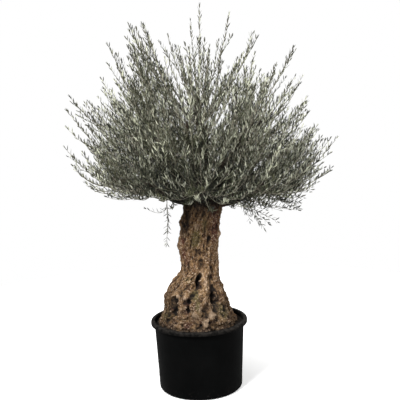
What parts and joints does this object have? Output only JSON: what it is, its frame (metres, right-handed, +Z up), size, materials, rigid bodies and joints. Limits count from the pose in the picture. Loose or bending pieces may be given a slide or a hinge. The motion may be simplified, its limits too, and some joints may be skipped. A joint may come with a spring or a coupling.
{
  "type": "olive bonsai in a pot",
  "caption": "Potted olive bonsai: a thick gnarled trunk flared at its foot, a dense crown of long straight leafy shoots, and a round black nursery pot filled with soil.",
  "frame": {"origin": "middle of the pot's flat underside, where it stands", "axes": "+Z up along the trunk; -Y is the side that the picture shows; +X is to its right"},
  "size_m": [1.5427, 1.4018, 2.1548],
  "materials": {
    "pot": "black moulded plastic, dull sheen",
    "soil": "moist dark compost with bark chips",
    "bark": "rough gnarled bark, tan and brown with dark pits and a little moss",
    "foliage": "grey-green leaves, silvery beneath"
  },
  "bodies": {
    "root": {"pot": "pot", "soil": "soil", "trunk": "bark", "bough_right": "bark", "bough_back": "bark", "bough_left": "bark", "bough_upper_right": "bark", "bough_upper_back_right": "bark", "bough_upper_back_left": "bark", "bough_upper_left": "bark", "bough_upper_front_left": "bark", "bough_upper_front_right": "bark", "bough_top": "bark", "foliage_right": "foliage", "foliage_back_right": "foliage", "foliage_back": "foliage", "foliage_back_left": "foliage", "foliage_left": "foliage", "foliage_front_left": "foliage", "foliage_front": "foliage", "foliage_front_right": "foliage", "foliage_upper_right": "foliage", "foliage_upper_back_right": "foliage", "foliage_upper_back_left": "foliage", "foliage_upper_left": "foliage", "foliage_upper_front_left": "foliage", "foliage_upper_front_right": "foliage", "foliage_top": "foliage", "foliage_hanging_left": "foliage", "foliage_hanging_right": "foliage"}
  },
  "joints": []
}
